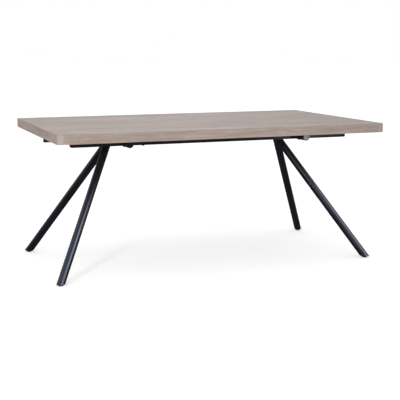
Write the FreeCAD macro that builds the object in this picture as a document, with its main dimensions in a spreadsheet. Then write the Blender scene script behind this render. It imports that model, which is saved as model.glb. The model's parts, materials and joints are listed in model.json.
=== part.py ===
import FreeCAD, Part
import math
import os
import re

import Sketcher

# Extendable dining table, in millimetres. The origin is on the floor under the middle of the top:
# +X runs along the table to its right end, +Y to its back, +Z up.
# A fixed oak top stands on a welded steel underframe and two pairs of splayed legs. In each of the two
# guide rails, one support arm pulls out to the left and one to the right, to carry a loose end leaf.

ENDS = (("left", -1), ("right", 1))
SIDES = (("front", -1), ("back", 1))

SIZES = (
    ("table_length", 1800, "outside length of the top"),
    ("table_width", 1050, "outside width of the top"),
    ("table_height", 770, "floor to the face of the top"),
    ("top_thick", 50, "thickness of the top"),
    ("face_thick", 3, "oak face sheet"),
    ("backing_thick", 2, "balancing sheet under the core"),
    ("lipping_thick", 30, "solid oak edging all round"),
    ("edge_round", 1, "softened edges of the oak"),
    ("corner_round", 1.5, "upright corners of the top"),
    ("rail_offset", 301, "guide rail's middle from the table's middle"),
    ("rail_wide", 28, "guide rail across its channel"),
    ("rail_deep", 40, "guide rail's height under the top"),
    ("rail_wall", 2, "sheet of the guide rail"),
    ("rail_flange", 14, "fixing flange on each side of the channel"),
    ("rail_setback", 125, "end of the top to the mouth of the rail"),
    ("spine_wide", 25, "centre spine across"),
    ("spine_deep", 40, "centre spine's height"),
    ("spine_wall", 2, "wall of the spine tube"),
    ("spine_setback", 43, "end of the top to the end of the spine"),
    ("tube_radius", 19, "cross tube outside"),
    ("tube_wall", 2, "wall of the cross tube"),
    ("tube_gap", 6, "top of the cross tube to the underside"),
    ("tube_offset", 500, "cross tube from the table's middle"),
    ("tube_reach", 400, "outer face of the tube plug from the middle"),
    ("flange_thick", 3, "flange of the tube and spine plugs"),
    ("plug_depth", 18, "part of a plug that sits in its tube"),
    ("plug_hollow", 3, "wall of a plug's skirt"),
    ("lug_long", 84, "fixing lug along the table"),
    ("lug_wide", 30, "fixing lug across the table"),
    ("lug_web", 10, "depth of the lug's saddle over the tube"),
    ("lug_inset", 40, "middle of the lug in from the tube's end"),
    ("lug_screw_pitch", 60, "between the two screws of a lug"),
    ("apex_offset", 506, "where a pair of leg axes meets, from the middle"),
    ("apex_drop", 1, "meeting point below the leg plate"),
    ("foot_offset", 880, "leg axis at the floor, along the table"),
    ("foot_spread", 419, "leg axis at the floor, from the middle line"),
    ("leg_radius", 21, "leg tube outside"),
    ("leg_wall", 2, "wall of the leg tube"),
    ("leg_cut", 8, "underside of the leg tube above the floor"),
    ("foot_plug_deep", 20, "height of the foot plug in the leg"),
    ("plate_long", 160, "leg plate along the table"),
    ("plate_wide", 110, "leg plate across the table"),
    ("plate_thick", 6, "leg plate"),
    ("plate_round", 10, "corners of the leg plate"),
    ("bolt_pitch_long", 120, "leg bolts along the table"),
    ("bolt_pitch_wide", 84, "leg bolts across the table"),
    ("bolt_radius", 4, "shank of the leg bolts and stop bolts"),
    ("bolt_head_radius", 7, "head of those bolts"),
    ("bolt_head_high", 4, "height of that head"),
    ("spacer_radius", 9, "spacer round a leg bolt"),
    ("insert_radius", 6.5, "threaded insert in the core"),
    ("insert_long", 14, "length of the threaded insert"),
    ("pad_radius", 13, "levelling glide's foot"),
    ("pad_high", 5, "height of that foot"),
    ("neck_radius", 6, "neck over the foot"),
    ("stem_radius", 4, "threaded stem of the glide"),
    ("stem_long", 15, "stem inside the foot plug"),
    ("arm_wide", 20, "support arm across"),
    ("arm_deep", 32, "support arm's height"),
    ("arm_wall", 2, "wall of the arm tube"),
    ("arm_floor_gap", 2.4, "arm above the floor of the channel"),
    ("arm_middle_gap", 15, "inner end of the arm from the middle"),
    ("arm_travel", 350, "how far an arm pulls out"),
    ("stop_offset", 400, "stop bolt from the table's middle"),
    ("stop_rise", 8, "stop bolt above the floor of the channel"),
    ("cap_thick", 10.5, "end cap over the mouth of the rail"),
    ("cap_round", 6, "lower outer edge of the end cap"),
    ("mouth_glide_long", 40, "nylon liner in the mouth of the rail"),
    ("rear_glide_long", 12, "nylon block on the arm's inner end"),
    ("rear_plug_long", 22, "part of that block inside the arm"),
    ("leaf_pad_long", 40, "rubber pad under a leaf"),
    ("leaf_pad_wide", 14, "rubber pad across"),
    ("leaf_pad_high", 3, "rubber pad's height"),
    ("leaf_pad_first", 60, "first pad from the arm's tip"),
    ("leaf_pad_second", 200, "second pad from the arm's tip"),
    ("screw_radius", 2.25, "shank of the wood screws"),
    ("screw_head_radius", 4.5, "head of the wood screws"),
    ("screw_head_high", 2.5, "height of that head"),
    ("screw_bite", 18, "depth of the wood screws in the top"),
    ("rail_screw_margin", 35, "outer rail screw from the rail's mouth"),
    ("slide_clearance", 0.3, "gap between sliding faces"),
    ("stop_clearance", 0.6, "gap left at each end of the stop slot"),
    ("thread_clearance", 0.05, "radial gap round bolts and stems"),
)
RAIL_SCREW_COUNT = 6

doc = FreeCAD.newDocument("ExtendableDiningTable")
sheet = doc.addObject("Spreadsheet::Sheet", "Sizes")
for row, (alias, value, note) in enumerate(SIZES, 1):
    sheet.set("A%d" % row, alias)
    sheet.set("B%d" % row, str(value))
    sheet.setAlias("B%d" % row, alias)
    sheet.set("C%d" % row, note)
doc.recompute()

ALIAS = re.compile(r"\b(%s)\b" % "|".join(alias for alias, _, _ in SIZES))
UNDERSIDE = "(table_height - top_thick)"
RAIL_HALF = "(table_length / 2 - rail_setback)"
TUBE_AXIS = "(%s - tube_gap - tube_radius)" % UNDERSIDE
PLATE_TOP = "(%s - tube_radius)" % TUBE_AXIS
APEX_HEIGHT = "(%s - plate_thick - apex_drop)" % PLATE_TOP
ARM_FLOOR = "(%s - rail_deep + rail_wall + arm_floor_gap)" % UNDERSIDE
X_AXIS = FreeCAD.Vector(1, 0, 0)
Y_AXIS = FreeCAD.Vector(0, 1, 0)
Z_AXIS = FreeCAD.Vector(0, 0, 1)
finished = []


def size(alias):
    """One driving dimension as a number."""
    return float(sheet.get(alias))


def bind(item, **formulas):
    """Ties properties to the sheet; x, y and z stand for the object's own place."""
    for name, formula in formulas.items():
        path = "Placement.Base." + name if name in ("x", "y", "z") else name
        item.setExpression(path, ALIAS.sub(r"Sizes.\1", formula))
    return item


def finish(item, node):
    """Gives a sub-part its name and puts it on the list of pieces to write."""
    item.Label = node
    finished.append(item)
    return item


# ---------------------------------------------------------------- Part primitives and booleans

def box(name, x, y, z, **formulas):
    """A block from its low corner, with Length, Width and Height as formulas."""
    return bind(doc.addObject("Part::Box", name), x=x, y=y, z=z, **formulas)


def cylinder(name, radius, height, x, y, z, along=Z_AXIS):
    """A round bar that starts at x, y, z and runs along a direction."""
    bar = doc.addObject("Part::Cylinder", name)
    bar.Placement = FreeCAD.Placement(FreeCAD.Vector(), FreeCAD.Rotation(Z_AXIS, along))
    return bind(bar, Radius=radius, Height=height, x=x, y=y, z=z)


def boolean(kind, name, base, tool):
    """Part::Cut or Part::Common of two objects."""
    result = doc.addObject(kind, name)
    result.Base = base
    result.Tool = tool
    return result


def fuse(name, items):
    """One solid, or a group of separate solids, from several."""
    result = doc.addObject("Part::MultiFuse", name)
    result.Shapes = items
    return result


def group(name, shapes):
    """Separate solids of one kind in one object."""
    item = doc.addObject("Part::Feature", name)
    item.Shape = Part.makeCompound(shapes)
    return item


# ---------------------------------------------------------------- PartDesign bodies

def new_body(name, end_sign=1, **place):
    """An empty body at its place, turned half round for the left end of the table."""
    body = doc.addObject("PartDesign::Body", name)
    turn = 0 if end_sign > 0 else 180
    body.Placement = FreeCAD.Placement(FreeCAD.Vector(), FreeCAD.Rotation(Z_AXIS, turn))
    return bind(body, **place)


def empty_sketch(body, name, role):
    """A sketch on one of the body's own origin planes."""
    sketch = body.newObject("Sketcher::SketchObject", name)
    support = [f for f in body.Origin.OriginFeatures if f.Role == role][0]
    sketch.AttachmentSupport = [(support, "")]
    sketch.MapMode = "FlatFace"
    return sketch


def pin_corner(sketch, index, formulas, seed):
    """Fixes the start of one line by two formulas; a 0 puts it on the axis."""
    for kind, axis, formula, start in zip(("DistanceX", "DistanceY"), (-2, -1), formulas, seed):
        if formula == "0":
            sketch.addConstraint(Sketcher.Constraint("PointOnObject", index, 1, axis))
        else:
            number = sketch.addConstraint(Sketcher.Constraint(kind, -1, 1, index, 1, start))
            sketch.setExpression("Constraints[%d]" % number, ALIAS.sub(r"Sizes.\1", formula))


def add_loop(sketch, corners):
    """A closed outline of straight lines through corners given as pairs of formulas."""
    first = sketch.GeometryCount
    count = len(corners)
    seeds = [
        FreeCAD.Vector(math.cos(2 * math.pi * k / count), math.sin(2 * math.pi * k / count), 0)
        for k in range(count)
    ]
    for k in range(count):
        sketch.addGeometry(Part.LineSegment(seeds[k], seeds[(k + 1) % count]), False)
    for k in range(count):
        join = Sketcher.Constraint("Coincident", first + k, 2, first + (k + 1) % count, 1)
        sketch.addConstraint(join)
    for k, corner in enumerate(corners):
        pin_corner(sketch, first + k, corner, seeds[k])


def rectangle(low_x, low_y, high_x, high_y):
    """The four corners of an upright rectangle, as formulas."""
    return [(low_x, low_y), (high_x, low_y), (high_x, high_y), (low_x, high_y)]


def pad(body, name, role, loops, length, reverse=False):
    """A prism from closed outlines on an origin plane."""
    sketch = empty_sketch(body, name + "Sketch", role)
    for corners in loops:
        add_loop(sketch, corners)
    feature = body.newObject("PartDesign::Pad", name)
    feature.Profile = sketch
    feature.Reversed = reverse
    sketch.Visibility = False
    return bind(feature, Length=length)


def pocket(body, name, role, corners, depth, reverse=False):
    """A cut from a closed outline on an origin plane."""
    sketch = empty_sketch(body, name + "Sketch", role)
    add_loop(sketch, corners)
    feature = body.newObject("PartDesign::Pocket", name)
    feature.Profile = sketch
    feature.Reversed = reverse
    return bind(feature, Length=depth)


def revolve(body, name, corners):
    """A turned solid about the body's own Z axis, from radius and height pairs."""
    sketch = empty_sketch(body, name + "Sketch", "XZ_Plane")
    add_loop(sketch, corners)
    feature = body.newObject("PartDesign::Revolution", name)
    feature.Profile = sketch
    feature.ReferenceAxis = (sketch, ["V_Axis"])
    feature.Angle = 360
    return feature


def round_edges(body, name, base, radius, chosen):
    """Fillets the straight edges that a test on their two ends picks out."""
    doc.recompute()
    names = []
    for number, edge in enumerate(base.Shape.Edges, 1):
        ends = [vertex.Point for vertex in edge.Vertexes]
        if len(ends) == 2 and chosen(ends[0], ends[1]):
            names.append("Edge%d" % number)
    feature = body.newObject("PartDesign::Fillet", name)
    feature.Base = (base, names)
    return bind(feature, Radius=radius)


def is_upright(a, b):
    """True for an edge along Z."""
    return abs(a.x - b.x) < 1e-6 and abs(a.y - b.y) < 1e-6


# ---------------------------------------------------------------- places of the fixings

def tube_top():
    """Height of the top of the cross tubes."""
    return size("table_height") - size("top_thick") - size("tube_gap")


def plate_top():
    """Height of the leg plates' upper face, on which the cross tubes lie."""
    return tube_top() - 2 * size("tube_radius")


def rail_screw_places():
    """Middle of each screw through the rail flanges: x, y and the flange's lower face."""
    outer = size("table_length") / 2 - size("rail_setback") - size("rail_screw_margin")
    reach = size("rail_wide") / 2 + size("rail_flange") / 2
    height = size("table_height") - size("top_thick") - size("rail_wall")
    places = []
    for k in range(RAIL_SCREW_COUNT):
        along = outer * (2 * k / (RAIL_SCREW_COUNT - 1) - 1)
        for _, side_sign in SIDES:
            for lean in (-reach, reach):
                across = side_sign * size("rail_offset") + lean
                places.append(FreeCAD.Vector(along, across, height))
    return places


def lug_screw_places():
    """Middle of each screw through a fixing lug: x, y and the lug's lower face."""
    height = tube_top()
    across = size("tube_reach") - size("lug_inset")
    half = size("lug_screw_pitch") / 2
    return [
        FreeCAD.Vector(end_sign * size("tube_offset") + lean, side_sign * across, height)
        for _, end_sign in ENDS
        for _, side_sign in SIDES
        for lean in (-half, half)
    ]


def leg_bolt_places():
    """Middle of each leg bolt at the top face of the leg plate."""
    height = plate_top()
    return [
        FreeCAD.Vector(
            end_sign * size("apex_offset") + lean * size("bolt_pitch_long") / 2,
            side_sign * size("bolt_pitch_wide") / 2,
            height,
        )
        for _, end_sign in ENDS
        for _, side_sign in SIDES
        for lean in (-1, 1)
    ]


def stop_bolt_places():
    """Middle of each stop bolt on the lower face of its rail."""
    height = size("table_height") - size("top_thick") - size("rail_deep")
    return [
        FreeCAD.Vector(end_sign * size("stop_offset"), side_sign * size("rail_offset"), height)
        for _, end_sign in ENDS
        for _, side_sign in SIDES
    ]


def bars(places, radius, low, high):
    """Round bars at several places, from low to high measured from each place."""
    return [
        Part.makeCylinder(radius, high - low, place + Z_AXIS * low, Z_AXIS) for place in places
    ]


# ---------------------------------------------------------------- the top

def make_face():
    """The oak sheet that covers the core and the edging."""
    body = new_body("FaceSheet", z="table_height - face_thick")
    half = ("table_length / 2", "table_width / 2")
    outline = rectangle("-" + half[0], "-" + half[1], half[0], half[1])
    slab = pad(body, "FacePad", "XY_Plane", [outline], "face_thick")
    corners = round_edges(body, "FaceCorners", slab, "corner_round", is_upright)
    top = size("face_thick")

    def is_rim(a, b):
        return abs(a.z - top) < 1e-6 and abs(b.z - top) < 1e-6

    round_edges(body, "FaceEdge", corners, "edge_round", is_rim)
    finish(body, "oak_face_sheet")


def make_core():
    """The core board and its balancing sheet, drilled for every screw and insert."""
    bite = size("screw_bite") + size("rail_wall")
    long_bite = size("screw_bite") + size("tube_gap")
    slack = size("thread_clearance")
    bolt_run = size("tube_gap") + 2 * size("tube_radius")
    drills = bars(rail_screw_places(), size("screw_radius") + slack, 0, bite + slack)
    drills += bars(lug_screw_places(), size("screw_radius") + slack, 0, long_bite + slack)
    drills += bars(
        leg_bolt_places(), size("insert_radius"), bolt_run - 1, bolt_run + size("insert_long")
    )
    inner = {
        "Length": "table_length - 2 * lipping_thick",
        "Width": "table_width - 2 * lipping_thick",
    }
    low_x = "lipping_thick - table_length / 2"
    low_y = "lipping_thick - table_width / 2"
    board = box(
        "CoreBlock",
        low_x,
        low_y,
        UNDERSIDE + " + backing_thick",
        Height="top_thick - face_thick - backing_thick",
        **inner
    )
    backing = box("BackingBlock", low_x, low_y, UNDERSIDE, Height="backing_thick", **inner)
    for name, block, node in (
        ("Core", board, "core_board"),
        ("Backing", backing, "backing_sheet"),
    ):
        holes = group(name + "Holes", drills)
        finish(boolean("Part::Cut", name, block, holes), node)


def make_lippings():
    """Solid oak edging: the end pieces run the full width, the long ones fit between them."""
    high = "top_thick - face_thick"
    for end, end_sign in ENDS:
        place = {"x": "%d * (table_length / 2 - lipping_thick)" % end_sign, "z": UNDERSIDE}
        body = new_body("%sLipping" % end.title(), end_sign, **place)
        outline = rectangle("0", "-table_width / 2", "lipping_thick", "table_width / 2")
        bar = pad(body, "%sLippingPad" % end.title(), "XY_Plane", [outline], high)
        outer = size("lipping_thick")

        def is_outer_corner(a, b, outer=outer):
            return is_upright(a, b) and abs(a.x - outer) < 1e-6

        def is_outer_foot(a, b, outer=outer):
            return abs(a.x - outer) < 1e-6 and abs(b.x - outer) < 1e-6 and abs(a.z + b.z) < 1e-6

        corners = round_edges(
            body, "%sLippingCorners" % end.title(), bar, "corner_round", is_outer_corner
        )
        round_edges(body, "%sLippingFoot" % end.title(), corners, "edge_round", is_outer_foot)
        finish(body, "%s_end_lipping" % end)
    for side, side_sign in SIDES:
        body = new_body(
            "%sLipping" % side.title(),
            y="%d * (table_width / 2 - lipping_thick)" % side_sign,
            z=UNDERSIDE,
        )
        half = "(table_length / 2 - lipping_thick)"
        edge = "%d * lipping_thick" % side_sign
        outline = rectangle("-" + half, "0", half, edge)
        bar = pad(body, "%sLippingPad" % side.title(), "XY_Plane", [outline], high)
        outer = side_sign * size("lipping_thick")

        def is_outer_edge(a, b, outer=outer):
            return abs(a.y - outer) < 1e-6 and abs(b.y - outer) < 1e-6 and abs(a.z + b.z) < 1e-6

        round_edges(body, "%sLippingFoot" % side.title(), bar, "edge_round", is_outer_edge)
        finish(body, "%s_lipping" % side)


# ---------------------------------------------------------------- the underframe

def make_rails():
    """Two hat-section guide rails, open at the top, with holes for screws and stop bolts."""
    half = "rail_wide / 2"
    flange = "(rail_wide / 2 + rail_flange)"
    inner = "(rail_wide / 2 - rail_wall)"
    profile = [
        ("-" + half, "-rail_deep"),
        (half, "-rail_deep"),
        (half, "-rail_wall"),
        (flange, "-rail_wall"),
        (flange, "0"),
        (inner, "0"),
        (inner, "rail_wall - rail_deep"),
        ("-" + inner, "rail_wall - rail_deep"),
        ("-" + inner, "0"),
        ("-" + flange, "0"),
        ("-" + flange, "-rail_wall"),
        ("-" + half, "-rail_wall"),
    ]
    slack = size("thread_clearance")
    drills = bars(rail_screw_places(), size("screw_radius") + slack, -1, size("rail_wall") + 1)
    drills += bars(stop_bolt_places(), size("bolt_radius") + slack, -1, size("rail_wall") + 1)
    for side, side_sign in SIDES:
        place = {"x": "-" + RAIL_HALF, "y": "%d * rail_offset" % side_sign, "z": UNDERSIDE}
        body = new_body("%sRailBlank" % side.title(), **place)
        pad(body, "%sRailPad" % side.title(), "YZ_Plane", [profile], "2 * " + RAIL_HALF)
        holes = group("%sRailHoles" % side.title(), drills)
        rail = boolean("Part::Cut", "%sRail" % side.title(), body, holes)
        finish(rail, "%s_guide_rail" % side)


def make_spine():
    """The centre spine tube and the plug in each of its ends."""
    wide = "spine_wide / 2"
    bore = "(spine_wide / 2 - spine_wall)"
    spine_half = "(table_length / 2 - spine_setback - flange_thick)"
    outline = rectangle("-" + wide, "-spine_deep", wide, "0")
    hollow = rectangle("-" + bore, "spine_wall - spine_deep", bore, "-spine_wall")
    body = new_body("Spine", x="-" + spine_half, z=UNDERSIDE)
    pad(body, "SpinePad", "YZ_Plane", [outline, hollow], "2 * " + spine_half)
    finish(body, "centre_spine")
    plugs = []
    for end, end_sign in ENDS:
        place = {"x": "%d * %s" % (end_sign, spine_half), "z": UNDERSIDE}
        plug = new_body("%sSpinePlug" % end.title(), end_sign, **place)
        name = "%sSpineFlange" % end.title()
        flange = pad(plug, name, "YZ_Plane", [outline], "flange_thick")
        outer = size("flange_thick")

        def is_rim(a, b, outer=outer):
            return abs(a.x - outer) < 1e-6 and abs(b.x - outer) < 1e-6

        round_edges(plug, name + "Rim", flange, "flange_thick / 3", is_rim)
        pad(plug, "%sSpineTongue" % end.title(), "YZ_Plane", [hollow], "plug_depth", True)
        plugs.append(plug)
    finish(fuse("SpinePlugs", plugs), "spine_plugs")


def make_cross_tubes():
    """Round tubes across the table: one each side of the spine, and an outrigger past each rail."""
    for end, end_sign in ENDS:
        x = "%d * tube_offset" % end_sign
        for side, side_sign in SIDES:
            stem = end.title() + side.title()
            along = Y_AXIS * side_sign
            runs = (
                ("CrossTube", "cross_tube", "spine_wide / 2", "rail_offset - rail_wide / 2"),
                ("Outrigger", "outrigger", "rail_offset + rail_wide / 2", "tube_reach - flange_thick"),
            )
            for kind, node, start, stop in runs:
                y = "%d * (%s)" % (side_sign, start)
                run = "(%s) - (%s)" % (stop, start)
                skin = cylinder(stem + kind + "Skin", "tube_radius", run, x, y, TUBE_AXIS, along)
                bore = cylinder(
                    stem + kind + "Bore", "tube_radius - tube_wall", run, x, y, TUBE_AXIS, along
                )
                tube = boolean("Part::Cut", stem + kind, skin, bore)
                finish(tube, "%s_%s_%s" % (side, end, node))


def make_tube_plugs():
    """Turned plugs that close the outriggers, each with a dished face and a hollow skirt."""
    bore = "(tube_radius - tube_wall)"
    inner = "(tube_radius - tube_wall - plug_hollow)"
    profile = [
        ("0", "-flange_thick"),
        (inner, "-flange_thick"),
        (inner, "-flange_thick - plug_depth"),
        (bore, "-flange_thick - plug_depth"),
        (bore, "-flange_thick"),
        ("tube_radius", "-flange_thick"),
        ("tube_radius", "-flange_thick / 3"),
        ("tube_radius - flange_thick / 3", "0"),
        ("0", "0"),
    ]
    for end, end_sign in ENDS:
        for side, side_sign in SIDES:
            stem = end.title() + side.title()
            body = new_body(
                stem + "TubePlug",
                x="%d * tube_offset" % end_sign,
                y="%d * tube_reach" % side_sign,
                z=TUBE_AXIS,
            )
            body.Placement.Rotation = FreeCAD.Rotation(Z_AXIS, Y_AXIS * side_sign)
            revolve(body, stem + "PlugTurned", profile)
            finish(body, "%s_%s_tube_plug" % (side, end))


def make_lugs():
    """Lugs between the outriggers and the top: a flange with a saddle over the tube."""
    lugs = []
    for end, end_sign in ENDS:
        for side, side_sign in SIDES:
            stem = end.title() + side.title() + "Lug"
            x = "%d * tube_offset" % end_sign
            y = "%d * (tube_reach - lug_inset) - lug_wide / 2" % side_sign
            low = UNDERSIDE + " - tube_gap"
            flange = box(
                stem + "Flange",
                x + " - lug_long / 2",
                y,
                low,
                Length="lug_long",
                Width="lug_wide",
                Height="tube_gap",
            )
            saddle = box(
                stem + "Saddle",
                x + " - tube_radius + tube_wall",
                y,
                low + " - lug_web",
                Length="2 * (tube_radius - tube_wall)",
                Width="lug_wide",
                Height="lug_web",
            )
            lugs.append(fuse(stem, [flange, saddle]))
    blanks = fuse("LugBlanks", lugs)
    slack = size("thread_clearance")
    drills = bars(lug_screw_places(), size("screw_radius") + slack, -1, size("tube_gap") + 1)
    reach = size("tube_reach")
    for _, end_sign in ENDS:
        start = FreeCAD.Vector(
            end_sign * size("tube_offset"), -reach, tube_top() - size("tube_radius")
        )
        drills.append(Part.makeCylinder(size("tube_radius"), 2 * reach, start, Y_AXIS))
    finish(boolean("Part::Cut", "Lugs", blanks, group("LugHoles", drills)), "fixing_lugs")


# ---------------------------------------------------------------- the legs

def leg_direction(end_sign, side_sign):
    """From the foot of a leg up towards the point where the pair meets."""
    rise = FreeCAD.Vector(
        end_sign * (size("apex_offset") - size("foot_offset")),
        -side_sign * size("foot_spread"),
        plate_top() - size("plate_thick") - size("apex_drop"),
    )
    return rise.normalize()


def make_leg(end, end_sign, side, side_sign):
    """One leg tube, cut level at its foot and at the plate, and mitred to its partner."""
    stem = end.title() + side.title()
    along = leg_direction(end_sign, side_sign)
    run = "1.2 * sqrt((foot_offset - apex_offset) ^ 2 + foot_spread ^ 2 + %s ^ 2)" % APEX_HEIGHT
    before = 0.05
    over = "-%g * %s" % (before, APEX_HEIGHT)
    foot = (
        "%d * (foot_offset + %g * (foot_offset - apex_offset))" % (end_sign, before),
        "%d * foot_spread * (1 + %g)" % (side_sign, before),
        over,
    )
    skin = cylinder(stem + "LegSkin", "leg_radius", run, *foot, along)
    bore = cylinder(stem + "LegBore", "leg_radius - leg_wall", run, *foot, along)
    tube = boolean("Part::Cut", stem + "LegTube", skin, bore)
    reach = "(foot_spread + 3 * leg_radius)"
    zone = box(
        stem + "LegZone",
        "%d * (apex_offset + foot_offset) / 2 - foot_offset / 2" % end_sign,
        "0" if side_sign > 0 else "-" + reach,
        "leg_cut",
        Length="foot_offset",
        Width=reach,
        Height=PLATE_TOP + " - plate_thick - leg_cut",
    )
    leg = boolean("Part::Common", stem + "Leg", tube, zone)
    finish(leg, "%s_%s_leg" % (side, end))
    core = cylinder(stem + "PlugCore", "leg_radius - leg_wall", run, *foot, along)
    slab = box(
        stem + "PlugZone",
        "%d * foot_offset - 3 * leg_radius" % end_sign,
        "%d * foot_spread - 3 * leg_radius" % side_sign,
        "leg_cut",
        Length="6 * leg_radius",
        Width="6 * leg_radius",
        Height="foot_plug_deep",
    )
    blank = boolean("Part::Common", stem + "PlugBlank", core, slab)
    x, y = foot_centre(end_sign, side_sign)
    drill = cylinder(
        stem + "PlugDrill", "stem_radius + thread_clearance", "foot_plug_deep", x, y, "leg_cut"
    )
    plug = boolean("Part::Cut", stem + "FootPlug", blank, drill)
    finish(plug, "%s_%s_foot_plug" % (side, end))


def foot_centre(end_sign, side_sign):
    """Formulas for the middle of the leg's level cut, where the glide screws in."""
    rise = "leg_cut / " + APEX_HEIGHT
    x = "%d * (foot_offset - (foot_offset - apex_offset) * %s)" % (end_sign, rise)
    y = "%d * foot_spread * (1 - %s)" % (side_sign, rise)
    return x, y


def make_glide(end, end_sign, side, side_sign):
    """A levelling glide: a round foot, a neck up to the leg's cut, and a threaded stem."""
    stem = end.title() + side.title()
    x, y = foot_centre(end_sign, side_sign)
    body = new_body(stem + "Glide", x=x, y=y)
    profile = [
        ("0", "0"),
        ("pad_radius - pad_high / 4", "0"),
        ("pad_radius", "pad_high / 4"),
        ("pad_radius", "pad_high * 3 / 4"),
        ("pad_radius - pad_high / 4", "pad_high"),
        ("neck_radius", "pad_high"),
        ("neck_radius", "leg_cut"),
        ("stem_radius", "leg_cut"),
        ("stem_radius", "leg_cut + stem_long"),
        ("0", "leg_cut + stem_long"),
    ]
    revolve(body, stem + "GlideTurned", profile)
    finish(body, "%s_%s_levelling_glide" % (side, end))


def make_leg_plate(end, end_sign):
    """The steel plate that a pair of legs is welded under, with its four bolt holes."""
    body = new_body(end.title() + "PlateBlank", x="%d * apex_offset" % end_sign, z=PLATE_TOP)
    half = ("plate_long / 2", "plate_wide / 2")
    outline = rectangle("-" + half[0], "-" + half[1], half[0], half[1])
    name = end.title() + "PlatePad"
    slab = pad(body, name, "XY_Plane", [outline], "plate_thick", True)
    round_edges(body, name + "Corners", slab, "plate_round", is_upright)
    radius = size("bolt_radius") + size("thread_clearance")
    drills = bars(leg_bolt_places(), radius, -size("plate_thick") - 1, 1)
    holes = group(end.title() + "PlateHoles", drills)
    finish(boolean("Part::Cut", end.title() + "Plate", body, holes), "%s_leg_plate" % end)


# ---------------------------------------------------------------- the pull-out support arms

def make_arm(end, end_sign, side, side_sign):
    """A box-section arm with the slot that its stop bolt runs in."""
    stem = end.title() + side.title()
    place = {"y": "%d * rail_offset" % side_sign, "z": ARM_FLOOR}
    run = "(%s - arm_middle_gap)" % RAIL_HALF
    half = "arm_wide / 2"
    bore = "(arm_wide / 2 - arm_wall)"
    x = "%d * arm_middle_gap" % end_sign
    body = new_body(stem + "Arm", end_sign, x=x, **place)
    loops = [
        rectangle("-" + half, "0", half, "arm_deep"),
        rectangle("-" + bore, "arm_wall", bore, "arm_deep - arm_wall"),
    ]
    pad(body, stem + "ArmPad", "YZ_Plane", loops, run)
    slot_half = "(bolt_radius + slide_clearance)"
    slot_end = "(bolt_radius + stop_clearance)"
    slot = rectangle(
        "stop_offset - arm_middle_gap - arm_travel - " + slot_end,
        "-" + slot_half,
        "stop_offset - arm_middle_gap + " + slot_end,
        slot_half,
    )
    pocket(body, stem + "ArmSlot", "XY_Plane", slot, "arm_wall", True)
    finish(body, "%s_%s_arm" % (side, end))
    make_arm_cap(stem, "%s_%s_arm_cap" % (side, end), end_sign, side_sign)
    make_rear_glide(stem, "%s_%s_rear_glide" % (side, end), end_sign, side_sign)
    make_leaf_pads(stem, "%s_%s_leaf_pads" % (side, end), end_sign, side_sign)


def make_arm_cap(stem, node, end_sign, side_sign):
    """The end cap that closes the mouth of the rail, with a tongue inside the arm."""
    x = "%d * %s" % (end_sign, RAIL_HALF)
    place = {"y": "%d * rail_offset" % side_sign, "z": UNDERSIDE}
    body = new_body(stem + "ArmCap", end_sign, x=x, **place)
    half = "rail_wide / 2"
    outline = rectangle("-" + half, "-rail_deep", half, "-rail_wall / 2")
    block = pad(body, stem + "CapBlock", "YZ_Plane", [outline], "cap_thick")
    outer = size("cap_thick")
    low = -size("rail_deep")

    def is_lower_nose(a, b):
        return all(abs(p.x - outer) < 1e-6 and abs(p.z - low) < 1e-6 for p in (a, b))

    round_edges(body, stem + "CapNose", block, "cap_round", is_lower_nose)
    bore = "(arm_wide / 2 - arm_wall)"
    floor = "arm_floor_gap + rail_wall - rail_deep"
    tongue = rectangle(
        "-" + bore, floor + " + arm_wall", bore, floor + " + arm_deep - arm_wall"
    )
    pad(body, stem + "CapTongue", "YZ_Plane", [tongue], "plug_depth", True)
    finish(body, node)


def make_rear_glide(stem, node, end_sign, side_sign):
    """The nylon block that steadies the arm's inner end between the rail and the top."""
    place = {"y": "%d * rail_offset" % side_sign, "z": UNDERSIDE}
    body = new_body(stem + "RearGlide", end_sign, x="%d * arm_middle_gap" % end_sign, **place)
    half = "(rail_wide / 2 - rail_wall - slide_clearance)"
    outline = rectangle(
        "-" + half, "rail_wall + slide_clearance - rail_deep", half, "-slide_clearance"
    )
    pad(body, stem + "RearBlock", "YZ_Plane", [outline], "rear_glide_long", True)
    bore = "(arm_wide / 2 - arm_wall)"
    floor = "arm_floor_gap + rail_wall - rail_deep"
    tongue = rectangle(
        "-" + bore, floor + " + arm_wall", bore, floor + " + arm_deep - arm_wall"
    )
    pad(body, stem + "RearTongue", "YZ_Plane", [tongue], "rear_plug_long")
    finish(body, node)


def make_leaf_pads(stem, node, end_sign, side_sign):
    """Two rubber pads on top of the arm, which a leaf rests on."""
    pads = []
    for name, inset in (("First", "leaf_pad_first"), ("Second", "leaf_pad_second")):
        x = "%d * (%s - %s) - leaf_pad_long / 2" % (end_sign, RAIL_HALF, inset)
        y = "%d * rail_offset - leaf_pad_wide / 2" % side_sign
        pads.append(
            box(
                stem + name + "Pad",
                x,
                y,
                ARM_FLOOR + " + arm_deep",
                Length="leaf_pad_long",
                Width="leaf_pad_wide",
                Height="leaf_pad_high",
            )
        )
    finish(fuse(stem + "LeafPads", pads), node)


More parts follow.
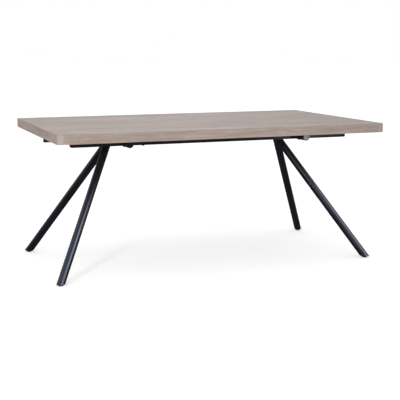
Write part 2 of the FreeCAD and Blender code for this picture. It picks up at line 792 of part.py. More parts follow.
def make_mouth_glides():
    """Nylon liners fixed in the four mouths of the rails, round three sides of the arm."""
    liners = []
    for end, end_sign in ENDS:
        for side, side_sign in SIDES:
            stem = end.title() + side.title() + "Liner"
            y = "%d * rail_offset" % side_sign
            x = "%d * (%s - mouth_glide_long / 2) - mouth_glide_long / 2" % (end_sign, RAIL_HALF)
            low = UNDERSIDE + " - rail_deep + rail_wall"
            block = box(
                stem + "Block",
                x,
                y + " - rail_wide / 2 + rail_wall",
                low,
                Length="mouth_glide_long",
                Width="rail_wide - 2 * rail_wall",
                Height="arm_floor_gap + arm_deep / 2",
            )
            gap = box(
                stem + "Gap",
                x,
                y + " - arm_wide / 2 - slide_clearance",
                ARM_FLOOR + " - slide_clearance",
                Length="mouth_glide_long",
                Width="arm_wide + 2 * slide_clearance",
                Height="arm_deep",
            )
            liners.append(boolean("Part::Cut", stem, block, gap))
    finish(fuse("Liners", liners), "mouth_glides")


# ---------------------------------------------------------------- fasteners, each kind one group

def headed(places, radius, reach, head_radius, head_high):
    """Bolts or screws: a head below each place and a shank that reaches up from it."""
    made = []
    for place in places:
        shank = Part.makeCylinder(radius, reach, place, Z_AXIS)
        head = Part.makeCylinder(head_radius, head_high, place - Z_AXIS * head_high, Z_AXIS)
        foot = [edge for edge in head.Edges if abs(edge.CenterOfMass.z - place.z + head_high) < 1e-6]
        made.append(head.makeFillet(head_high * 0.4, foot).fuse(shank))
    return made


def make_fasteners():
    """Wood screws, leg bolts with their spacers and inserts, and the stop bolts."""
    head = (size("screw_head_radius"), size("screw_head_high"))
    radius = size("screw_radius")
    screws = headed(rail_screw_places(), radius, size("rail_wall") + size("screw_bite"), *head)
    screws += headed(lug_screw_places(), radius, size("tube_gap") + size("screw_bite"), *head)
    finish(group("WoodScrews", screws), "wood_screws")

    bolt = size("bolt_radius")
    head = (size("bolt_head_radius"), size("bolt_head_high"))
    run = size("tube_gap") + 2 * size("tube_radius")
    plate = size("plate_thick")
    places = leg_bolt_places()
    under = [place - Z_AXIS * plate for place in places]
    reach = plate + run + size("insert_long") - 1
    finish(group("LegBolts", headed(under, bolt, reach, *head)), "leg_bolts")

    hole = bolt + size("thread_clearance")
    sleeves = []
    inserts = []
    for place in places:
        outer = Part.makeCylinder(size("spacer_radius"), run, place, Z_AXIS)
        sleeves.append(outer.cut(Part.makeCylinder(hole, run, place, Z_AXIS)))
        seat = place + Z_AXIS * run
        shell = Part.makeCylinder(size("insert_radius"), size("insert_long"), seat, Z_AXIS)
        inserts.append(shell.cut(Part.makeCylinder(hole, size("insert_long"), seat, Z_AXIS)))
    finish(group("Spacers", sleeves), "bolt_spacers")
    finish(group("Inserts", inserts), "threaded_inserts")

    rise = size("rail_wall") + size("stop_rise")
    finish(group("StopBolts", headed(stop_bolt_places(), bolt, rise, *head)), "stop_bolts")


# ---------------------------------------------------------------- build, check and write

def check(item):
    """Stops the script if a finished piece is not one or more sound solids."""
    shape = item.Shape
    if shape.isNull() or not shape.isValid() or not shape.Solids:
        raise RuntimeError("%s has no sound solid" % item.Label)


make_face()
make_core()
make_lippings()
make_rails()
make_spine()
make_cross_tubes()
make_tube_plugs()
make_lugs()
for end_name, end_way in ENDS:
    make_leg_plate(end_name, end_way)
    for side_name, side_way in SIDES:
        make_leg(end_name, end_way, side_name, side_way)
        make_glide(end_name, end_way, side_name, side_way)
        make_arm(end_name, end_way, side_name, side_way)
make_mouth_glides()
make_fasteners()

doc.recompute()
for made in doc.Objects:
    if "Invalid" in made.State or "Error" in made.State:
        raise RuntimeError("%s failed: %s" % (made.Label, made.State))
os.makedirs("parts", exist_ok=True)
for made in finished:
    check(made)
    made.Shape.exportStep("parts/%s.step" % made.Label)
print("wrote %d nodes" % len(finished))
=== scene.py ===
import json
import math

import bpy
from bpy.props import FloatProperty, FloatVectorProperty, PointerProperty
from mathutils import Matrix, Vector


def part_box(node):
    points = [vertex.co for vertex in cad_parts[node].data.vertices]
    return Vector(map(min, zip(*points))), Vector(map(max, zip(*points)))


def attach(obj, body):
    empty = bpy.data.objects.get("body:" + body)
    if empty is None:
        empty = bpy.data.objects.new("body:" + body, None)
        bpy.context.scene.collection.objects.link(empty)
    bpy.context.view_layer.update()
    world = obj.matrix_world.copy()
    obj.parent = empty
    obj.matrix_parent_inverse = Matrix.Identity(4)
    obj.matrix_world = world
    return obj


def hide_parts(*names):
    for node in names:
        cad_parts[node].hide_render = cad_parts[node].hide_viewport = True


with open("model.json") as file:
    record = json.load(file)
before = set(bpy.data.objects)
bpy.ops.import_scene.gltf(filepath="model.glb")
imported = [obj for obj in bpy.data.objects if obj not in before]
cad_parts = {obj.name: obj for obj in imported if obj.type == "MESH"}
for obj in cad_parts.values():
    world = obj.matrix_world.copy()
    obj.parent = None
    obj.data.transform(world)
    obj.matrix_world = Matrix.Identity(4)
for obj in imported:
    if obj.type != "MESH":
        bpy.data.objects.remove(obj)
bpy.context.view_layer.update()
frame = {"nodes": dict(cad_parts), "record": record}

bl_info = {
    "name": "Extendable dining table",
    "version": (1, 0, 0),
    "blender": (4, 5, 0),
    "location": "3D View > Sidebar > Table",
    "description": "Finishes and small metalwork for a dining table with pull-out leaf supports",
    "category": "Object",
}

SLOT_OF = {part["node"]: part["material_slot"] for part in frame["record"]["subparts"]}
SIDES = (("front", -1), ("back", 1))
ENDS = (("left", -1), ("right", 1))
BOLT_HEAD_RADIUS = 0.007
BOLT_SHANK_RADIUS = 0.004
TUBE_RADIUS = (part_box("front_left_outrigger")[1].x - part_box("front_left_outrigger")[0].x) / 2
SOCKET_SHARE = 0.46
WELD_RADIUS = 0.0026
WELD_RIPPLE = 0.22
WELD_STEPS = 72
# Painted shade: the right end's end grain is made this share darker than the left's, though both ends
# are the same oak
RIGHT_END_PAINTED_SHADE = 0.16
CAMERA_PLACE = (-1.8583, -4.8885, 1.2119)
CAMERA_YAW = 0.3692
CAMERA_PITCH = 0.1696
WINDOW_WAY = (0.50, -0.62, 0.60)


# ---------------------------------------------------------------- settings

class OakSettings(bpy.types.PropertyGroup):
    """Colours and surface of the oak."""

    face: FloatVectorProperty(
        name="Face", description="Main colour of the oak face", subtype="COLOR",
        size=3, min=0, max=1, default=(0.398, 0.328, 0.270),
    )
    edge: FloatVectorProperty(
        name="Edge", description="Main colour of the oak edging", subtype="COLOR",
        size=3, min=0, max=1, default=(0.386, 0.311, 0.274),
    )
    end_grain: FloatVectorProperty(
        name="End grain", description="Colour where the edging is cut across", subtype="COLOR",
        size=3, min=0, max=1, default=(0.395, 0.345, 0.325),
    )
    contrast: FloatProperty(
        name="Contrast", description="How much darker the grain lines are", min=0, max=1,
        default=0.30,
    )
    roughness: FloatProperty(
        name="Roughness", description="Roughness of the matt lacquer", min=0, max=1, default=0.52,
    )


class SteelSettings(bpy.types.PropertyGroup):
    """The powder coat on the underframe and legs."""

    coat: FloatVectorProperty(
        name="Coat", description="Colour of the powder coat", subtype="COLOR",
        size=3, min=0, max=1, default=(0.0042, 0.0046, 0.0095),
    )
    roughness: FloatProperty(
        name="Roughness", description="Roughness of the powder coat", min=0, max=1, default=0.28,
    )
    wear: FloatProperty(
        name="Wear", description="How far the edges are rubbed", min=0, max=1, default=0.25,
    )


class StageSettings(bpy.types.PropertyGroup):
    """Floor, lights and camera."""

    floor: FloatVectorProperty(
        name="Floor", description="Colour of the floor", subtype="COLOR",
        size=3, min=0, max=1, default=(0.86, 0.86, 0.86),
    )
    glow: FloatProperty(
        name="Glow", description="Light the floor gives off itself", min=0, default=0.43,
    )
    ambient: FloatProperty(
        name="Ambient", description="Strength of the light from all round", min=0, default=0.78,
    )
    dim: FloatProperty(
        name="Dim", description="Brightness of the floor in reflections", min=0, default=0.10,
    )
    ceiling: FloatProperty(
        name="Ceiling", description="Extra brightness overhead in reflections", min=0, default=0.9,
    )
    overhead: FloatProperty(
        name="Overhead", description="Power of the softbox above", unit="POWER", default=5.2,
    )
    key: FloatProperty(
        name="Key", description="Power of the softbox at the front left", unit="POWER", default=38,
    )
    panel: FloatProperty(
        name="Panel", description="Power of the low panel at the front right", unit="POWER",
        default=2.2,
    )
    window: FloatProperty(
        name="Window", description="Brightness of a window at the right in reflections", min=0,
        default=8.0,
    )
    lens: FloatProperty(
        name="Lens", description="Focal length of the camera", unit="CAMERA", default=83.7,
    )


# ---------------------------------------------------------------- material helpers

def new_material(name):
    """An empty node material with its shader and output; returns the tree and the shader."""
    material = bpy.data.materials.new(name)
    material.use_nodes = True
    tree = material.node_tree
    tree.nodes.clear()
    shader = tree.nodes.new("ShaderNodeBsdfPrincipled")
    output = tree.nodes.new("ShaderNodeOutputMaterial")
    tree.links.new(shader.outputs["BSDF"], output.inputs["Surface"])
    return material, tree, shader


def add(tree, kind, inputs=None, **settings):
    """A node with its settings; an input that is a socket is linked, and any other is set."""
    node = tree.nodes.new(kind)
    for key, value in settings.items():
        setattr(node, key, value)
    for key, value in (inputs or {}).items():
        if isinstance(value, bpy.types.NodeSocket):
            tree.links.new(value, node.inputs[key])
        else:
            node.inputs[key].default_value = value
    return node


def stretched(tree, scale, turn=0.0, shift=(0, 0, 0)):
    """Object coordinates turned about Z, then stretched."""
    place = add(tree, "ShaderNodeTexCoord").outputs["Object"]
    turned = add(
        tree, "ShaderNodeMapping", {"Vector": place, "Rotation": (0, 0, turn), "Location": shift}
    )
    return add(
        tree, "ShaderNodeMapping", {"Vector": turned.outputs["Vector"], "Scale": scale}
    ).outputs["Vector"]


def noise(tree, vector, scale, detail=3.0, distortion=0.0, roughness=0.5):
    """A seedless noise value between 0 and 1."""
    return add(
        tree, "ShaderNodeTexNoise",
        {"Vector": vector, "Scale": scale, "Detail": detail, "Distortion": distortion,
         "Roughness": roughness},
    ).outputs["Fac"]


def span(tree, value, low, high, to_low=0.0, to_high=1.0):
    """Maps a value from one range to another, clamped and eased."""
    return add(
        tree, "ShaderNodeMapRange",
        {"Value": value, "From Min": low, "From Max": high, "To Min": to_low, "To Max": to_high},
        interpolation_type="SMOOTHSTEP",
    ).outputs["Result"]


def math_node(tree, operation, first, second):
    """One arithmetic step."""
    node = add(tree, "ShaderNodeMath", operation=operation)
    for index, value in enumerate((first, second)):
        if isinstance(value, bpy.types.NodeSocket):
            tree.links.new(value, node.inputs[index])
        else:
            node.inputs[index].default_value = value
    return node.outputs["Value"]


def mix(tree, factor, first, second, blend="MIX"):
    """A mix of two colours."""
    node = add(tree, "ShaderNodeMix", data_type="RGBA", blend_type=blend)
    for index, value in ((0, factor), (6, first), (7, second)):
        if isinstance(value, bpy.types.NodeSocket):
            tree.links.new(value, node.inputs[index])
        elif index == 0:
            node.inputs[index].default_value = value
        else:
            node.inputs[index].default_value = (*value[:3], 1)
    return node.outputs[2]


def bump(tree, height, strength, distance):
    """A bumped normal from a height."""
    return add(
        tree, "ShaderNodeBump", {"Height": height, "Strength": strength, "Distance": distance}
    ).outputs["Normal"]


def edge_mask(tree, radius):
    """About 1 along sharp edges and 0 on flats, from how far a rounded normal leans."""
    rounded = add(tree, "ShaderNodeBevel", {"Radius": radius}, samples=4).outputs["Normal"]
    flat = add(tree, "ShaderNodeNewGeometry").outputs["Normal"]
    lean = add(tree, "ShaderNodeVectorMath", {0: rounded, 1: flat}, operation="DOT_PRODUCT")
    return span(tree, lean.outputs["Value"], 0.995, 0.86)


def tinted(colour, share):
    """A colour made darker or lighter by a share."""
    return tuple(channel * share for channel in colour)


# ---------------------------------------------------------------- materials

def oak(name, colour, settings, turn=0.0, shift=(0, 0, 0), end_grain=None):
    """Whitewashed oak: broad boards, drifting figure, fine pores and limed flecks."""
    material, tree, shader = new_material(name)
    drift = noise(tree, stretched(tree, (0.9, 3.2, 3.2), turn, shift), 1.6, 2.0, 0.4)
    figure = noise(tree, stretched(tree, (1.0, 13.0, 13.0), turn, shift), 3.2, 5.0, 1.1, 0.62)
    lines = noise(tree, stretched(tree, (1.0, 42.0, 42.0), turn, shift), 5.5, 4.0, 0.5, 0.6)
    pores = noise(tree, stretched(tree, (1.0, 22.0, 22.0), turn, shift), 60.0, 2.0)
    limed = noise(tree, stretched(tree, (1.0, 9.0, 9.0), turn, shift), 22.0, 3.0)
    deep = 1.0 - settings.contrast
    tone = mix(
        tree, span(tree, drift, 0.32, 0.68),
        tinted(colour, 0.5 + 0.5 * deep), tinted(colour, 1.10),
    )
    warm = (colour[0] * deep, colour[1] * deep * 0.94, colour[2] * deep * 0.90)
    tone = mix(tree, span(tree, figure, 0.60, 0.40, 0.0, 0.55), tone, warm)
    tone = mix(tree, span(tree, lines, 0.54, 0.40, 0.0, 0.45), tone, tinted(warm, 0.90))
    tone = mix(tree, span(tree, limed, 0.56, 0.72, 0.0, 0.40), tone, tinted(colour, 1.28))
    pore_mask = span(tree, pores, 0.40, 0.30, 0.0, 0.55)
    tone = mix(tree, pore_mask, tone, tinted(warm, 0.62))
    if end_grain is not None:
        normal = add(tree, "ShaderNodeTexCoord").outputs["Normal"]
        axes = add(tree, "ShaderNodeSeparateXYZ", {"Vector": normal}).outputs
        facing = span(tree, math_node(tree, "ABSOLUTE", axes["Y"], 0.0), 0.85, 0.98)
        rings = noise(tree, stretched(tree, (14.0, 1.0, 3.0)), 26.0, 3.0, 0.6)
        cut = mix(tree, span(tree, rings, 0.35, 0.62), tinted(end_grain, 0.86), end_grain)
        tone = mix(tree, facing, tone, cut)
    worn = math_node(tree, "MULTIPLY", edge_mask(tree, 0.0012), 0.30)
    tone = mix(tree, worn, tone, tinted(colour, 1.22))
    tree.links.new(tone, shader.inputs["Base Color"])
    rough = span(tree, lines, 0.3, 0.7, settings.roughness + 0.08, settings.roughness - 0.05)
    tree.links.new(rough, shader.inputs["Roughness"])
    relief = math_node(tree, "MULTIPLY_ADD", lines, 0.5)
    grooves = math_node(tree, "SUBTRACT", relief, pore_mask)
    tree.links.new(bump(tree, grooves, 0.35, 0.0004), shader.inputs["Normal"])
    shader.inputs["Specular IOR Level"].default_value = 0.35
    return material


def powder_coat(settings):
    """Satin black powder coat with orange peel, light dust and rubbed edges."""
    material, tree, shader = new_material("satin_black_steel")
    place = stretched(tree, (1, 1, 1))
    cloud = noise(tree, place, 7.0, 3.0)
    peel = noise(tree, place, 620.0, 2.0)
    dust = noise(tree, place, 140.0, 4.0)
    tone = mix(
        tree, span(tree, cloud, 0.35, 0.65), tinted(settings.coat, 0.8), tinted(settings.coat, 1.35)
    )
    tone = mix(tree, span(tree, dust, 0.62, 0.80, 0.0, 0.16), tone, (0.07, 0.07, 0.07))
    scuffed = math_node(tree, "MULTIPLY", edge_mask(tree, 0.0010), settings.wear)
    tone = mix(tree, scuffed, tone, (0.10, 0.10, 0.105))
    tree.links.new(tone, shader.inputs["Base Color"])
    low = settings.roughness - 0.05
    rough = span(tree, cloud, 0.3, 0.7, low, low + 0.13)
    tree.links.new(rough, shader.inputs["Roughness"])
    tree.links.new(bump(tree, peel, 0.10, 0.0003), shader.inputs["Normal"])
    shader.inputs["Specular IOR Level"].default_value = 0.45
    return material


def moulded(name, colour, low, high, specular, grain=420.0, depth=0.12):
    """Moulded plastic or rubber: fine texture, uneven gloss and slightly paler edges."""
    material, tree, shader = new_material(name)
    place = stretched(tree, (1, 1, 1))
    cloud = noise(tree, place, 30.0, 3.0)
    fine = noise(tree, place, grain, 2.0)
    tone = mix(tree, span(tree, cloud, 0.3, 0.7), tinted(colour, 0.85), tinted(colour, 1.20))
    paler = math_node(tree, "MULTIPLY", edge_mask(tree, 0.0008), 0.30)
    tone = mix(tree, paler, tone, tuple(channel * 0.7 + 0.08 for channel in colour))
    tree.links.new(tone, shader.inputs["Base Color"])
    tree.links.new(span(tree, cloud, 0.3, 0.7, low, high), shader.inputs["Roughness"])
    tree.links.new(bump(tree, fine, depth, 0.0002), shader.inputs["Normal"])
    shader.inputs["Specular IOR Level"].default_value = specular
    return material


def bright_metal(name, colour, low, high):
    """Plated or blackened steel with turning marks and small stains."""
    material, tree, shader = new_material(name)
    place = stretched(tree, (1, 1, 1))
    stain = noise(tree, place, 160.0, 4.0)
    marks = noise(tree, stretched(tree, (1, 1, 14)), 420.0, 2.0)
    tone = mix(tree, span(tree, stain, 0.35, 0.70), tinted(colour, 1.12), tinted(colour, 0.68))
    tree.links.new(tone, shader.inputs["Base Color"])
    tree.links.new(span(tree, stain, 0.3, 0.7, low, high), shader.inputs["Roughness"])
    tree.links.new(bump(tree, marks, 0.12, 0.0001), shader.inputs["Normal"])
    shader.inputs["Metallic"].default_value = 1.0
    return material


def chipboard(name, pale, dark):
    """Pressed chips of wood, pale and brown."""
    material, tree, shader = new_material(name)
    place = stretched(tree, (1, 1, 1.6))
    chips = add(tree, "ShaderNodeTexVoronoi", {"Vector": place, "Scale": 210.0, "Randomness": 1.0})
    split = add(tree, "ShaderNodeSeparateColor", {"Color": chips.outputs["Color"]})
    tone = mix(tree, split.outputs["Red"], dark, pale)
    tree.links.new(tone, shader.inputs["Base Color"])
    tree.links.new(bump(tree, split.outputs["Green"], 0.4, 0.0006), shader.inputs["Normal"])
    shader.inputs["Roughness"].default_value = 0.85
    return material


def coat_node(node, material):
    """Gives a frame node one material."""
    slots = frame["nodes"][node].material_slots
    if not slots:
        frame["nodes"][node].data.materials.append(material)
        return
    for slot in slots:
        slot.material = material


def coat_slot(slot, material):
    """Gives every frame node of one finish the same material."""
    nodes = [node for node, name in SLOT_OF.items() if name == slot]
    if not nodes:
        raise RuntimeError("no node has the finish " + slot)
    for node in nodes:
        coat_node(node, material)


# ---------------------------------------------------------------- modelling helpers

def deselect_all():
    """Leaves object mode with nothing selected."""
    if bpy.context.object and bpy.context.object.mode != "OBJECT":
        bpy.ops.object.mode_set(mode="OBJECT")
    bpy.ops.object.select_all(action="DESELECT")


def settle(piece, name, material, body):
    """Names a finished piece, puts its place into its mesh and hangs it on its body."""
    deselect_all()
    piece.select_set(True)
    bpy.context.view_layer.objects.active = piece
    bpy.ops.object.transform_apply(location=True, rotation=True, scale=True)
    piece.name = name
    piece.data.name = name
    piece.data.materials.clear()
    piece.data.materials.append(material)
    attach(piece, body)
    return piece


def copy_to(pattern, place):
    """A copy of a piece, with a mesh of its own, moved to a place."""
    twin = pattern.copy()
    twin.data = pattern.data.copy()
    bpy.context.collection.objects.link(twin)
    twin.location = place
    return twin


def apply_modifiers(piece):
    """Applies every modifier in order."""
    deselect_all()
    piece.select_set(True)
    bpy.context.view_layer.objects.active = piece
    for modifier in list(piece.modifiers):
        bpy.ops.object.modifier_apply(modifier=modifier.name)


def socket_bolt(head_high, shank_long):
    """A socket-head bolt whose seat is at the origin: head below, shank above."""
    deselect_all()
    bpy.ops.mesh.primitive_cylinder_add(
        vertices=48, radius=BOLT_HEAD_RADIUS, depth=head_high, location=(0, 0, -head_high / 2)
    )
    bolt = bpy.context.object
    bpy.ops.object.transform_apply(location=True)
    bpy.ops.object.mode_set(mode="EDIT")
    bpy.ops.mesh.select_mode(type="FACE")
    bpy.ops.mesh.select_all(action="DESELECT")
    bpy.ops.object.mode_set(mode="OBJECT")
    for face in bolt.data.polygons:
        face.select = face.normal.z > 0.9
    bpy.ops.object.mode_set(mode="EDIT")
    bpy.ops.mesh.inset(thickness=BOLT_HEAD_RADIUS - BOLT_SHANK_RADIUS)
    bpy.ops.mesh.extrude_region_move(TRANSFORM_OT_translate={"value": (0, 0, shank_long)})
    bpy.ops.object.mode_set(mode="OBJECT")
    bpy.ops.mesh.primitive_cylinder_add(
        vertices=6, radius=BOLT_HEAD_RADIUS * SOCKET_SHARE, depth=head_high * 1.4,
        location=(0, 0, -head_high),
    )
    socket = bpy.context.object
    cut = bolt.modifiers.new("Socket", "BOOLEAN")
    cut.operation = "DIFFERENCE"
    cut.object = socket
    soften = bolt.modifiers.new("Soften", "BEVEL")
    soften.width = 0.0004
    soften.segments = 3
    soften.angle_limit = math.radians(40)
    apply_modifiers(bolt)
    bpy.data.objects.remove(socket)
    bpy.ops.object.shade_smooth_by_angle(angle=math.radians(35))
    return bolt


def weld_ring(radius):
    """A rippled weld bead round the Z axis."""
    deselect_all()
    bpy.ops.mesh.primitive_torus_add(
        major_segments=WELD_STEPS, minor_segments=12, major_radius=radius,
        minor_radius=WELD_RADIUS,
    )
    bead = bpy.context.object
    bpy.ops.object.mode_set(mode="EDIT")
    bpy.ops.mesh.select_mode(type="VERT")
    bpy.ops.mesh.select_all(action="DESELECT")
    bpy.ops.object.mode_set(mode="OBJECT")
    for vertex in bead.data.vertices:
        angle = math.atan2(vertex.co.y, vertex.co.x)
        vertex.select = round(angle / (2 * math.pi) * WELD_STEPS) % 3 == 0
    bpy.ops.object.mode_set(mode="EDIT")
    bpy.ops.transform.shrink_fatten(value=WELD_RADIUS * WELD_RIPPLE)
    bpy.ops.object.mode_set(mode="OBJECT")
    bpy.ops.object.shade_smooth()
    return bead


# ---------------------------------------------------------------- operators

class TABLE_OT_oak_top(bpy.types.Operator):
    """Lays oak over the face and the four edging pieces"""

    bl_idname = "table.oak_top"
    bl_label = "Oak top"

    def execute(self, context):
        settings = context.scene.table_oak
        coat_slot("oak_top", oak("oak_face", tuple(settings.face), settings))
        edge = tuple(settings.edge)
        for index, (side, _) in enumerate(SIDES):
            shift = (0.7 * index, 0.31, 0.12)
            coat_node(side + "_lipping", oak(side + "_oak_edge", edge, settings, 0.0, shift))
        for index, (end, _) in enumerate(ENDS):
            # painted shade: the right end's end grain is a darker copy of the left's
            cut = tinted(tuple(settings.end_grain), 1.0 - RIGHT_END_PAINTED_SHADE * index)
            shift = (0.2, 0.9 + 0.6 * index, 0.4)
            finish = oak(end + "_oak_edge", edge, settings, math.pi / 2, shift, cut)
            coat_node(end + "_end_lipping", finish)
        return {"FINISHED"}


class TABLE_OT_board(bpy.types.Operator):
    """Gives the hidden core and its backing their board"""

    bl_idname = "table.board"
    bl_label = "Core board"

    def execute(self, context):
        coat_slot("board", chipboard("core_chipboard", (0.52, 0.40, 0.26), (0.25, 0.16, 0.09)))
        backing = oak("backing_veneer", (0.33, 0.27, 0.23), context.scene.table_oak)
        coat_node("backing_sheet", backing)
        return {"FINISHED"}


class TABLE_OT_steelwork(bpy.types.Operator):
    """Powder-coats the rails, tubes, plates, arms and legs"""

    bl_idname = "table.steelwork"
    bl_label = "Steelwork"

    def execute(self, context):
        coat_slot("black_steel", powder_coat(context.scene.table_steel))
        return {"FINISHED"}


class TABLE_OT_mouldings(bpy.types.Operator):
    """Gives the caps, plugs, feet, guides and pads their plastics and rubber"""

    bl_idname = "table.mouldings"
    bl_label = "Mouldings"

    def execute(self, context):
        coat_slot("cap_plastic", moulded("cap_plastic", (0.009, 0.009, 0.011), 0.09, 0.15, 0.50))
        coat_slot("foot_plastic", moulded("foot_plastic", (0.012, 0.012, 0.013), 0.45, 0.6, 0.4))
        coat_slot("nylon", moulded("natural_nylon", (0.52, 0.50, 0.45), 0.35, 0.5, 0.45, 260.0))
        coat_slot("leaf_rubber", moulded("pad_rubber", (0.02, 0.02, 0.02), 0.7, 0.9, 0.3, 300.0, 0.3))
        return {"FINISHED"}


class TABLE_OT_bolts(bpy.types.Operator):
    """Models the socket-head bolts under the rails and leg plates"""

    bl_idname = "table.bolts"
    bl_label = "Bolts"

    def execute(self, context):
        coat_slot("fastener_steel", bright_metal("plated_steel", (0.50, 0.49, 0.46), 0.28, 0.46))
        dark = bright_metal("blackened_steel", (0.07, 0.07, 0.075), 0.30, 0.48)
        coat_slot("bolt_steel", dark)
        self.replace("stop_bolts", "stop_bolt", [(x, y) for x in (-1, 1) for y in (-1, 1)], dark)
        self.replace("leg_bolts", "leg_bolt", self.leg_pattern(), dark)
        return {"FINISHED"}

    def leg_pattern(self):
        """Each leg bolt's place as a share of the outermost one's."""
        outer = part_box("leg_bolts")[1].x - BOLT_HEAD_RADIUS
        low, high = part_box("left_leg_plate")
        inner = -(low.x + high.x) - outer
        return [(way * share, y) for way in (-1, 1) for share in (1, inner / outer) for y in (-1, 1)]

    def replace(self, node, name, pattern, material):
        """Puts a modelled bolt in place of each solid of a node."""
        low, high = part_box(node)
        reach = Vector((high.x - BOLT_HEAD_RADIUS, high.y - BOLT_HEAD_RADIUS))
        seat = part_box("front_guide_rail" if name == "stop_bolt" else "left_leg_plate")[0].z
        model = socket_bolt(seat - low.z, high.z - seat)
        for number, (along, across) in enumerate(pattern, 1):
            bolt = copy_to(model, (along * reach.x, across * reach.y, seat))
            settle(bolt, "%s_%d" % (name, number), material, "table")
            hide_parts(node)
        bpy.data.objects.remove(model)


class TABLE_OT_welds(bpy.types.Operator):
    """Lays weld beads where the outriggers meet the rails and the legs meet their plates"""

    bl_idname = "table.welds"
    bl_label = "Welds"

    def execute(self, context):
        steel = bpy.data.materials["satin_black_steel"]
        for end, _ in ENDS:
            for side, way in SIDES:
                low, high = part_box("%s_%s_outrigger" % (side, end))
                ring = weld_ring(TUBE_RADIUS)
                ring.rotation_euler.x = math.pi / 2
                face = high.y if way < 0 else low.y
                ring.location = ((low.x + high.x) / 2, face, (low.z + high.z) / 2)
                settle(ring, "%s_%s_tube_weld" % (side, end), steel, "table")
                self.leg_weld(end, side, way, steel)
        return {"FINISHED"}

    def leg_weld(self, end, side, way, steel):
        """The bead round a leg's top, cut off where it meets its partner's."""
        leg = frame["nodes"]["%s_%s_leg" % (side, end)].data.vertices
        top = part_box("%s_%s_leg" % (side, end))[1].z
        rim = [vertex.co.copy() for vertex in leg if abs(vertex.co.z - top) < 1e-4]
        low_x, high_x = min(p.x for p in rim), max(p.x for p in rim)
        half_wide = (high_x - low_x) / 2
        ring = weld_ring(half_wide)
        ring.scale.y = max(abs(p.y) for p in rim) / half_wide
        ring.location = ((low_x + high_x) / 2, 0, top)
        deselect_all()
        ring.select_set(True)
        bpy.context.view_layer.objects.active = ring
        bpy.ops.object.transform_apply(location=True, scale=True)
        bpy.ops.object.mode_set(mode="EDIT")
        bpy.ops.mesh.select_all(action="SELECT")
        bpy.ops.mesh.bisect(
            plane_co=(0, 0, 0), plane_no=(0, -way, 0), use_fill=True, clear_outer=True
        )
        bpy.ops.object.mode_set(mode="OBJECT")
        settle(ring, "%s_%s_leg_weld" % (side, end), steel, "table")


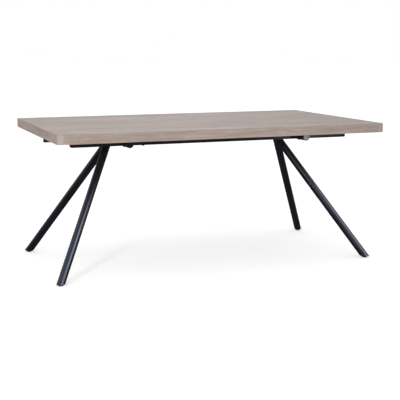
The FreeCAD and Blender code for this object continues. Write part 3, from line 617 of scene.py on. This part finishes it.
class TABLE_OT_stage(bpy.types.Operator):
    """Sets the floor, the soft lights and the camera"""

    bl_idname = "table.stage"
    bl_label = "Stage"

    def execute(self, context):
        settings = context.scene.table_stage
        self.floor(settings)
        self.surroundings(context, settings)
        self.softbox("overhead", (-0.2, 0.1, 2.0), (-0.2, 0, 0.7), 0.7, 1.6, settings.overhead)
        self.softbox("key", (-2.6, -2.9, 1.9), (-0.4, 0, 0.6), 0.5, 1.4, settings.key)
        self.softbox("panel", (2.45, -4.05, 0.34), (0.5, -0.4, 0.69), 0.24, 0.40, settings.panel)
        camera_data = bpy.data.cameras.new("camera")
        camera_data.lens = settings.lens
        camera_data.sensor_width = 36.0
        camera = bpy.data.objects.new("camera", camera_data)
        context.scene.collection.objects.link(camera)
        camera.location = CAMERA_PLACE
        camera.rotation_euler = (math.pi / 2 - CAMERA_PITCH, 0, -CAMERA_YAW)
        context.scene.camera = camera
        context.scene.view_settings.view_transform = "Standard"
        return {"FINISHED"}

    def floor(self, settings):
        """A large pale floor with a faint mottle."""
        deselect_all()
        bpy.ops.mesh.primitive_plane_add(size=80, location=(0, 0, 0))
        floor = bpy.context.object
        floor.name = "floor"
        material, tree, shader = new_material("pale_floor")
        mottle = noise(tree, stretched(tree, (1, 1, 1)), 2.0, 3.0)
        pale = tuple(settings.floor)
        tone = mix(tree, span(tree, mottle, 0.3, 0.7), tinted(pale, 0.985), pale)
        tree.links.new(tone, shader.inputs["Base Color"])
        shader.inputs["Roughness"].default_value = 0.9
        shader.inputs["Specular IOR Level"].default_value = 0.1
        shader.inputs["Emission Color"].default_value = (1, 1, 1, 1)
        shader.inputs["Emission Strength"].default_value = settings.glow
        floor.data.materials.append(material)
        floor.visible_glossy = False

    def surroundings(self, context, settings):
        """A white background, even light, and for reflections a room with a dim floor."""
        world = bpy.data.worlds.new("studio")
        world.use_nodes = True
        context.scene.world = world
        tree = world.node_tree
        tree.nodes.clear()
        soft = add(tree, "ShaderNodeBackground", {"Strength": settings.ambient})
        white = add(tree, "ShaderNodeBackground", {"Strength": 1.0})
        soft.inputs["Color"].default_value = (0.98, 0.99, 1.0, 1)
        white.inputs["Color"].default_value = (1, 1, 1, 1)
        way = add(tree, "ShaderNodeTexCoord").outputs["Generated"]
        rise = add(tree, "ShaderNodeSeparateXYZ", {"Vector": way}).outputs["Z"]
        wall = span(tree, rise, 0.0, 0.12, settings.dim, settings.ambient)
        ceiling = span(tree, rise, 0.30, 0.80)
        cool = mix(tree, ceiling, (1, 1, 1), (0.62, 0.70, 1.0))
        level = math_node(tree, "ADD", wall, math_node(tree, "MULTIPLY", ceiling, settings.ceiling))
        aside = add(tree, "ShaderNodeVectorMath", {0: way, 1: WINDOW_WAY}, operation="DOT_PRODUCT")
        pane = span(tree, aside.outputs["Value"], 0.940, 0.972, 0.0, settings.window)
        level = math_node(tree, "ADD", level, pane)
        room = add(tree, "ShaderNodeBackground", {"Color": cool, "Strength": level})
        ray = add(tree, "ShaderNodeLightPath").outputs
        mirrored = add(
            tree, "ShaderNodeMixShader",
            {0: ray["Is Glossy Ray"], 1: soft.outputs["Background"], 2: room.outputs["Background"]},
        )
        blend = add(
            tree, "ShaderNodeMixShader",
            {0: ray["Is Camera Ray"], 1: mirrored.outputs["Shader"], 2: white.outputs["Background"]},
        )
        add(tree, "ShaderNodeOutputWorld", {"Surface": blend.outputs["Shader"]})

    def softbox(self, name, place, aim, wide, high, power):
        """A rectangular area light aimed at a point."""
        data = bpy.data.lights.new(name, "AREA")
        data.shape = "RECTANGLE"
        data.size = wide
        data.size_y = high
        data.energy = power
        lamp = bpy.data.objects.new(name, data)
        bpy.context.scene.collection.objects.link(lamp)
        lamp.location = place
        way = Vector(aim) - Vector(place)
        lamp.rotation_euler = way.to_track_quat("-Z", "Y").to_euler()
        lamp.visible_camera = False


STEPS = (
    TABLE_OT_oak_top,
    TABLE_OT_board,
    TABLE_OT_steelwork,
    TABLE_OT_mouldings,
    TABLE_OT_bolts,
    TABLE_OT_welds,
    TABLE_OT_stage,
)


class TABLE_PT_panel(bpy.types.Panel):
    """Lists the steps in the sidebar"""

    bl_idname = "TABLE_PT_panel"
    bl_label = "Dining table"
    bl_space_type = "VIEW_3D"
    bl_region_type = "UI"
    bl_category = "Table"

    def draw(self, context):
        for step in STEPS:
            self.layout.operator(step.bl_idname)
        for settings in ("table_oak", "table_steel", "table_stage"):
            group = getattr(context.scene, settings)
            for name in group.__annotations__:
                self.layout.prop(group, name)


GROUPS = (OakSettings, SteelSettings, StageSettings)
CLASSES = GROUPS + STEPS + (TABLE_PT_panel,)


def register():
    """Registers every class and hangs the settings on the scene."""
    for item in CLASSES:
        bpy.utils.register_class(item)
    bpy.types.Scene.table_oak = PointerProperty(type=OakSettings)
    bpy.types.Scene.table_steel = PointerProperty(type=SteelSettings)
    bpy.types.Scene.table_stage = PointerProperty(type=StageSettings)


def unregister():
    """Takes the settings and classes away again."""
    del bpy.types.Scene.table_stage
    del bpy.types.Scene.table_steel
    del bpy.types.Scene.table_oak
    for item in reversed(CLASSES):
        bpy.utils.unregister_class(item)


def main():
    """Builds everything."""
    register()
    deselect_all()
    bpy.ops.table.oak_top()
    bpy.ops.table.board()
    bpy.ops.table.steelwork()
    bpy.ops.table.mouldings()
    bpy.ops.table.bolts()
    bpy.ops.table.welds()
    bpy.ops.table.stage()


if __name__ == "__main__":
    main()
